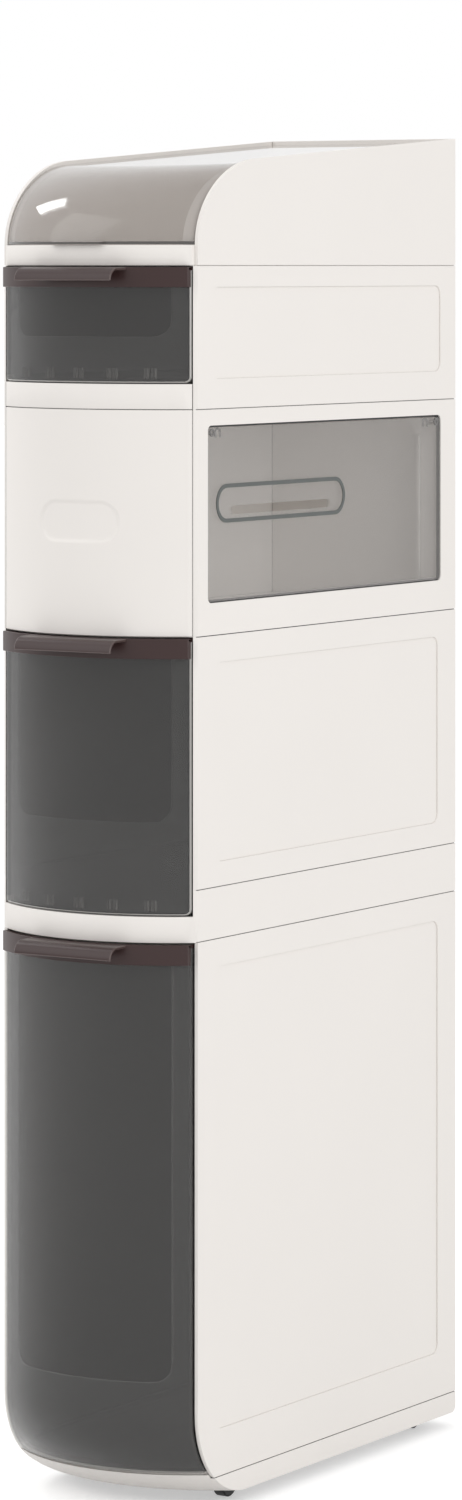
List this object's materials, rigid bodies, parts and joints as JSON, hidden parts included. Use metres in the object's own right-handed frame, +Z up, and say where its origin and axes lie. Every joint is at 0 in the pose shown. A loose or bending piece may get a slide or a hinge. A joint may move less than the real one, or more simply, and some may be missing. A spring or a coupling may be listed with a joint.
{
  "type": "bathroom storage tower",
  "caption": "Slim white storage tower on hidden casters with a bowed front, smoked drawers, a tissue bay with a flip-up side door and a dome-lidded top bay.",
  "frame": {"origin": "on the floor under the wheels, at the middle of the bounding box", "axes": "+Z up, -Y out of the bowed front, +X towards the side with the tissue door"},
  "size_m": [0.162, 0.4004, 0.9566],
  "materials": {
    "white_plastic": "satin",
    "smoked_plastic": "clear smoked, polished",
    "clear_smoke_plastic": "light smoke, polished",
    "brown_plastic": "satin",
    "ring_grey": "printed and raised",
    "black_plastic": "satin",
    "axle_steel": "plain"
  },
  "bodies": {
    "tower": {"base_tray": "white_plastic", "lower_side_left": "white_plastic", "lower_side_right": "white_plastic", "lower_back": "white_plastic", "divider_tray": "white_plastic", "middle_side_left": "white_plastic", "middle_side_right": "white_plastic", "middle_back": "white_plastic", "tissue_shelf": "white_plastic", "tissue_side_left": "white_plastic", "tissue_side_right": "white_plastic", "tissue_front": "white_plastic", "tissue_back": "white_plastic", "upper_shelf": "white_plastic", "upper_side_left": "white_plastic", "upper_side_right": "white_plastic", "upper_back": "white_plastic", "top_tray": "white_plastic", "crown_cheek_left": "white_plastic", "crown_cheek_right": "white_plastic", "crown_back": "white_plastic"},
    "large_drawer": {"large_drawer_tub": "smoked_plastic", "large_drawer_front": "smoked_plastic", "large_drawer_trim": "brown_plastic"},
    "medium_drawer": {"medium_drawer_tub": "smoked_plastic", "medium_drawer_front": "smoked_plastic", "medium_drawer_trim": "brown_plastic"},
    "small_drawer": {"small_drawer_tub": "smoked_plastic", "small_drawer_front": "smoked_plastic", "small_drawer_trim": "brown_plastic"},
    "side_door": {"tissue_door": "clear_smoke_plastic", "slot_ring": "ring_grey", "door_pin_front": "clear_smoke_plastic", "door_pin_rear": "clear_smoke_plastic"},
    "lid": {"dome_lid": "clear_smoke_plastic", "lid_pin_left": "clear_smoke_plastic", "lid_pin_right": "clear_smoke_plastic"},
    "swivel_front_left": {"caster_fork_front_left": "black_plastic", "caster_axle_front_left": "axle_steel"},
    "wheel_front_left": {"caster_wheel_front_left": "black_plastic"},
    "swivel_front_right": {"caster_fork_front_right": "black_plastic", "caster_axle_front_right": "axle_steel"},
    "wheel_front_right": {"caster_wheel_front_right": "black_plastic"},
    "swivel_rear_left": {"caster_fork_rear_left": "black_plastic", "caster_axle_rear_left": "axle_steel"},
    "wheel_rear_left": {"caster_wheel_rear_left": "black_plastic"},
    "swivel_rear_right": {"caster_fork_rear_right": "black_plastic", "caster_axle_rear_right": "axle_steel"},
    "wheel_rear_right": {"caster_wheel_rear_right": "black_plastic"}
  },
  "joints": [
    {"name": "large_drawer_slide", "type": "slide", "parent": "tower", "child": "large_drawer", "axis": [0, -1, 0], "range_m": [0, 0.26]},
    {"name": "medium_drawer_slide", "type": "slide", "parent": "tower", "child": "medium_drawer", "axis": [0, -1, 0], "range_m": [0, 0.26]},
    {"name": "small_drawer_slide", "type": "slide", "parent": "tower", "child": "small_drawer", "axis": [0, -1, 0], "range_m": [0, 0.26]},
    {"name": "side_door_hinge", "type": "hinge", "parent": "tower", "child": "side_door", "pos_m": [0.0782, 0.02, 0.7469], "axis": [0, -1, 0], "range_deg": [0, 95]},
    {"name": "lid_hinge", "type": "hinge", "parent": "tower", "child": "lid", "pos_m": [0, 0.19025, 0.95021], "axis": [-1, 0, 0], "range_deg": [0, 80]},
    {"name": "swivel_front_left", "type": "hinge", "parent": "tower", "child": "swivel_front_left", "pos_m": [-0.057, -0.08675, 0.02], "axis": [0, 0, 1], "continuous": true},
    {"name": "spin_front_left", "type": "hinge", "parent": "swivel_front_left", "child": "wheel_front_left", "pos_m": [-0.057, -0.08075, 0.01], "axis": [1, 0, 0], "continuous": true},
    {"name": "swivel_front_right", "type": "hinge", "parent": "tower", "child": "swivel_front_right", "pos_m": [0.057, -0.08675, 0.02], "axis": [0, 0, 1], "continuous": true},
    {"name": "spin_front_right", "type": "hinge", "parent": "swivel_front_right", "child": "wheel_front_right", "pos_m": [0.057, -0.08075, 0.01], "axis": [1, 0, 0], "continuous": true},
    {"name": "swivel_rear_left", "type": "hinge", "parent": "tower", "child": "swivel_rear_left", "pos_m": [-0.057, 0.16825, 0.02], "axis": [0, 0, 1], "continuous": true},
    {"name": "spin_rear_left", "type": "hinge", "parent": "swivel_rear_left", "child": "wheel_rear_left", "pos_m": [-0.057, 0.17425, 0.01], "axis": [1, 0, 0], "continuous": true},
    {"name": "swivel_rear_right", "type": "hinge", "parent": "tower", "child": "swivel_rear_right", "pos_m": [0.057, 0.16825, 0.02], "axis": [0, 0, 1], "continuous": true},
    {"name": "spin_rear_right", "type": "hinge", "parent": "swivel_rear_right", "child": "wheel_rear_right", "pos_m": [0.057, 0.17425, 0.01], "axis": [1, 0, 0], "continuous": true}
  ]
}
